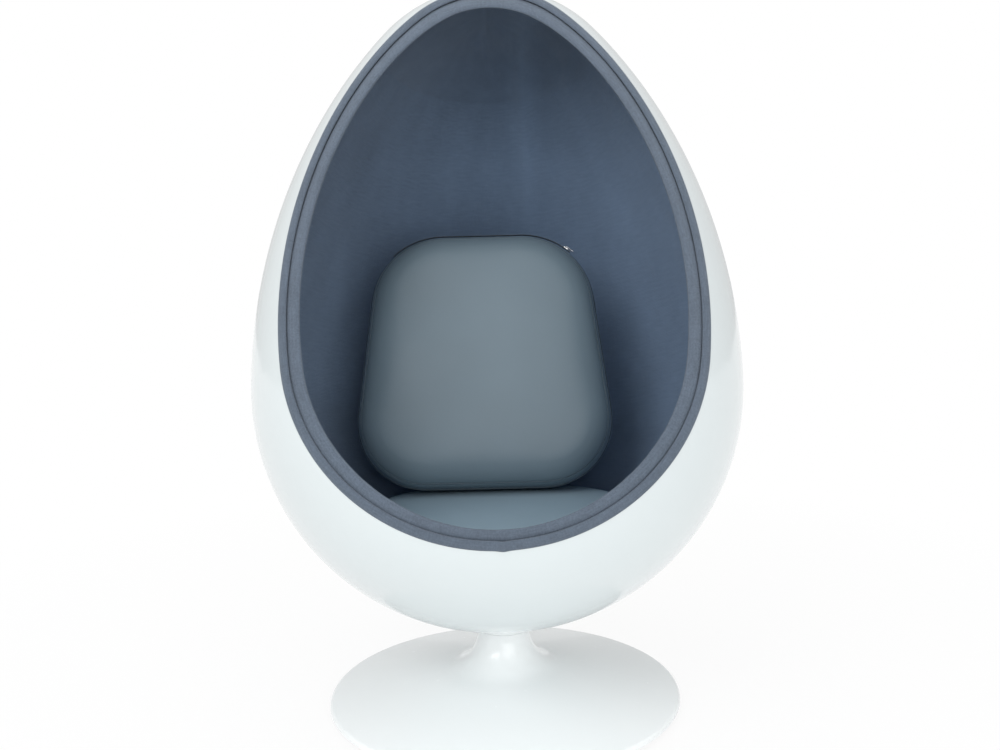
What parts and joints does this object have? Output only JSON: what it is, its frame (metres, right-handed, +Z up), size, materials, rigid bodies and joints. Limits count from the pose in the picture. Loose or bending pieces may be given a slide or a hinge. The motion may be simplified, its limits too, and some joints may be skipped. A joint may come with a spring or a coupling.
{
  "type": "pod chair",
  "caption": "Egg-shaped swivel lounge chair: a white shell open at the front, lined in blue grey cloth with loose leather seat and back cushions, on a white trumpet pedestal.",
  "frame": {"origin": "on the floor, under the swivel axis", "axes": "+Z up along the swivel axis; -Y out of the pod's opening, the way a sitter faces; +X to the right of someone who looks into the opening"},
  "size_m": [0.85, 0.8351, 1.278],
  "materials": {
    "shell_gloss": "white gloss gel coat on fibreglass",
    "base_gloss": "white gloss powder coat",
    "rim_cloth": "woven wool cloth, blue grey",
    "lining_cloth": "woven wool cloth, dark blue grey",
    "foam": "moulded foam",
    "cushion_leather": "smooth slate grey leather",
    "plywood": "birch plywood",
    "steel": "turned and zinc plated steel",
    "black_steel": "black painted steel plate",
    "iron": "rough cast iron",
    "rubber": "black rubber",
    "bush_plastic": "acetal",
    "laminate": "bare fibreglass laminate",
    "zip_metal": "polished zip metal"
  },
  "bodies": {
    "pedestal": {"pedestal_skin": "base_gloss", "base_plate": "black_steel", "floor_glide": "rubber", "ballast_ring": "iron", "swivel_column": "steel", "rim_screws": "steel", "foot_screws": "steel", "ballast_bolts": "steel", "neck_spacer": "bush_plastic", "upper_bush": "bush_plastic", "lower_bush": "bush_plastic", "lower_race": "steel", "bearing_balls": "steel", "ball_cage": "bush_plastic"},
    "pod": {"upper_race": "steel", "spindle": "steel", "retaining_clip": "steel", "end_washer": "steel", "swivel_flange": "steel", "saddle_pad": "rubber", "swivel_collar": "base_gloss", "outer_shell": "shell_gloss", "inner_pad": "laminate", "mounting_plate": "black_steel", "mounting_bolts": "steel", "bolt_washers": "steel", "lining_foam": "foam", "lining_cloth": "lining_cloth", "rim_band": "rim_cloth", "rim_roll": "rim_cloth", "seat_foam": "foam", "seat_board": "plywood", "back_support": "foam"},
    "seat_cushion": {"seat_cushion_cover": "cushion_leather", "seat_cushion_core": "foam", "seat_zip_chain": "zip_metal", "seat_zip_slider": "zip_metal"},
    "back_cushion": {"back_cushion_cover": "cushion_leather", "back_cushion_core": "foam", "back_zip_chain": "zip_metal", "back_zip_slider": "zip_metal"}
  },
  "joints": [
    {"name": "pod_swivel", "type": "hinge", "parent": "pedestal", "child": "pod", "pos_m": [0, 0, 0.13], "axis": [0, 0, 1], "continuous": true},
    {"name": "seat_lift", "type": "slide", "parent": "pod", "child": "seat_cushion", "axis": [0, -0.5, 0.866], "range_m": [0, 0.2]},
    {"name": "back_pull", "type": "slide", "parent": "seat_cushion", "child": "back_cushion", "axis": [0, -0.9063, 0.4226], "range_m": [0, 0.4]}
  ]
}
